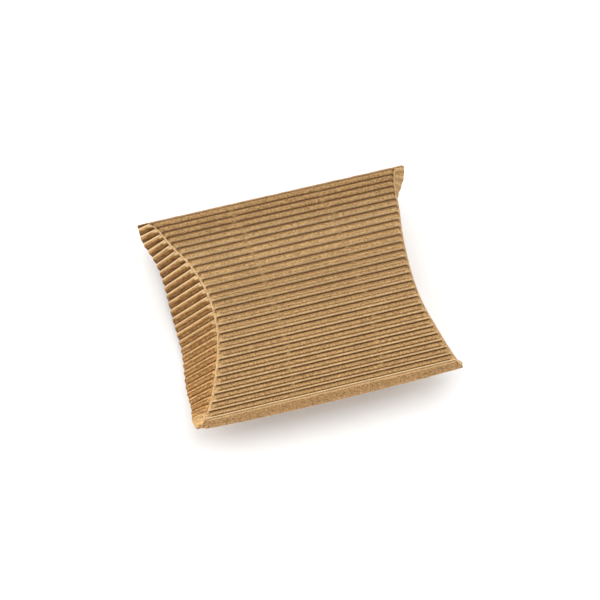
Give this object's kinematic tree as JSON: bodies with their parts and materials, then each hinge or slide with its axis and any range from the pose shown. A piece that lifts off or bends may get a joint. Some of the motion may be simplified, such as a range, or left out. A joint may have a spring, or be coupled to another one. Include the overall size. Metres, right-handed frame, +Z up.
{
  "type": "favor box",
  "caption": "Pillow-shaped favor box of single-face corrugated kraft board, flutes outside, with curved end flaps that fold in to close it.",
  "frame": {"origin": "on the floor under the middle of the box, at the flattened crests of the belly", "axes": "+X along the flutes and the box's length, +Y across the width away from the viewer, +Z up"},
  "size_m": [0.107, 0.08, 0.0302],
  "materials": {
    "kraft_flutes": "matte kraft paper, fluted",
    "kraft_liner": "matte kraft paper",
    "kraft_crushed": "matte kraft paper, pressed flat",
    "glue": "dried white paper glue"
  },
  "bodies": {
    "sleeve": {"top_panel_liner": "kraft_liner", "top_panel_flutes": "kraft_flutes", "bottom_panel_liner": "kraft_liner", "bottom_panel_flutes": "kraft_flutes", "near_side_fold": "kraft_crushed", "far_side_fold": "kraft_crushed", "glue_tab": "kraft_crushed", "glue_strip": "glue", "left_top_crease": "kraft_crushed", "right_top_crease": "kraft_crushed", "left_bottom_crease": "kraft_crushed", "right_bottom_crease": "kraft_crushed"},
    "left_outer_flap": {"left_outer_flap_liner": "kraft_liner", "left_outer_flap_flutes": "kraft_flutes"},
    "left_inner_flap": {"left_inner_flap_liner": "kraft_liner", "left_inner_flap_flutes": "kraft_flutes"},
    "right_outer_flap": {"right_outer_flap_liner": "kraft_liner", "right_outer_flap_flutes": "kraft_flutes"},
    "right_inner_flap": {"right_inner_flap_liner": "kraft_liner", "right_inner_flap_flutes": "kraft_flutes"}
  },
  "joints": [
    {"name": "left_outer_flap_fold", "type": "hinge", "parent": "sleeve", "child": "left_outer_flap", "pos_m": [-0.0391, 0, 0.02878], "axis": [0, 1, 0], "range_deg": [0, 105]},
    {"name": "left_inner_flap_fold", "type": "hinge", "parent": "sleeve", "child": "left_inner_flap", "pos_m": [-0.0391, 0, 0.00118], "axis": [0, -1, 0], "range_deg": [0, 94.5]},
    {"name": "right_outer_flap_fold", "type": "hinge", "parent": "sleeve", "child": "right_outer_flap", "pos_m": [0.0391, 0, 0.02878], "axis": [0, -1, 0], "range_deg": [0, 105]},
    {"name": "right_inner_flap_fold", "type": "hinge", "parent": "sleeve", "child": "right_inner_flap", "pos_m": [0.0391, 0, 0.00118], "axis": [0, 1, 0], "range_deg": [0, 94.5]}
  ],
  "couplings": [
    {"joint": "left_inner_flap_fold", "follows": "left_outer_flap_fold", "ratio": 0.9},
    {"joint": "right_inner_flap_fold", "follows": "right_outer_flap_fold", "ratio": 0.9}
  ]
}
